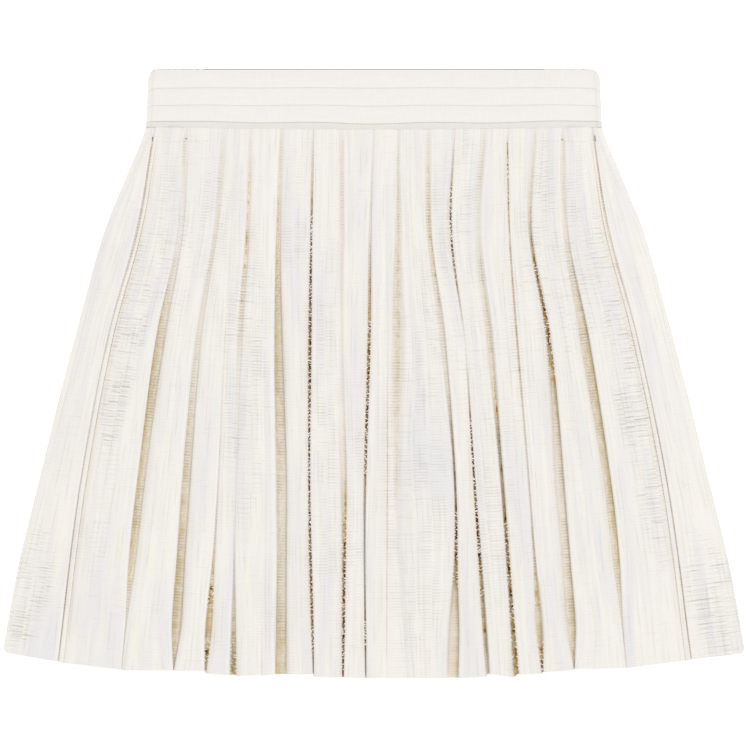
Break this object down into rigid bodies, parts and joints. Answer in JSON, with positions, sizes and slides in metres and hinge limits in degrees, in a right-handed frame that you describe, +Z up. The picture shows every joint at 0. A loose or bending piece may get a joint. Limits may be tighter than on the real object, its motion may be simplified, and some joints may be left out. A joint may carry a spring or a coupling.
{
  "type": "pleated mini skirt",
  "caption": "Short A-line skirt with uneven pressed pleats on a tucked waistband, laid flat on its back.",
  "frame": {"origin": "on the surface that the skirt lies on, under the middle of its box", "axes": "+X across the skirt, +Y towards the waistband, +Z up out of the surface, through the front"},
  "size_m": [0.549, 0.45, 0.0146],
  "materials": {
    "skirt_cloth": "ivory slubbed cotton and linen, loosely woven, matt",
    "band_cloth": "ivory cotton, doubled and stiffened, matt",
    "zip_tape": "ivory woven tape with a nylon coil"
  },
  "bodies": {
    "root": {"skirt_front": "skirt_cloth", "skirt_back_left": "skirt_cloth", "skirt_back_right": "skirt_cloth", "waistband_front": "band_cloth", "waistband_back_left": "band_cloth", "waistband_back_right": "band_cloth", "zip_left": "zip_tape", "zip_right": "zip_tape"}
  },
  "joints": []
}
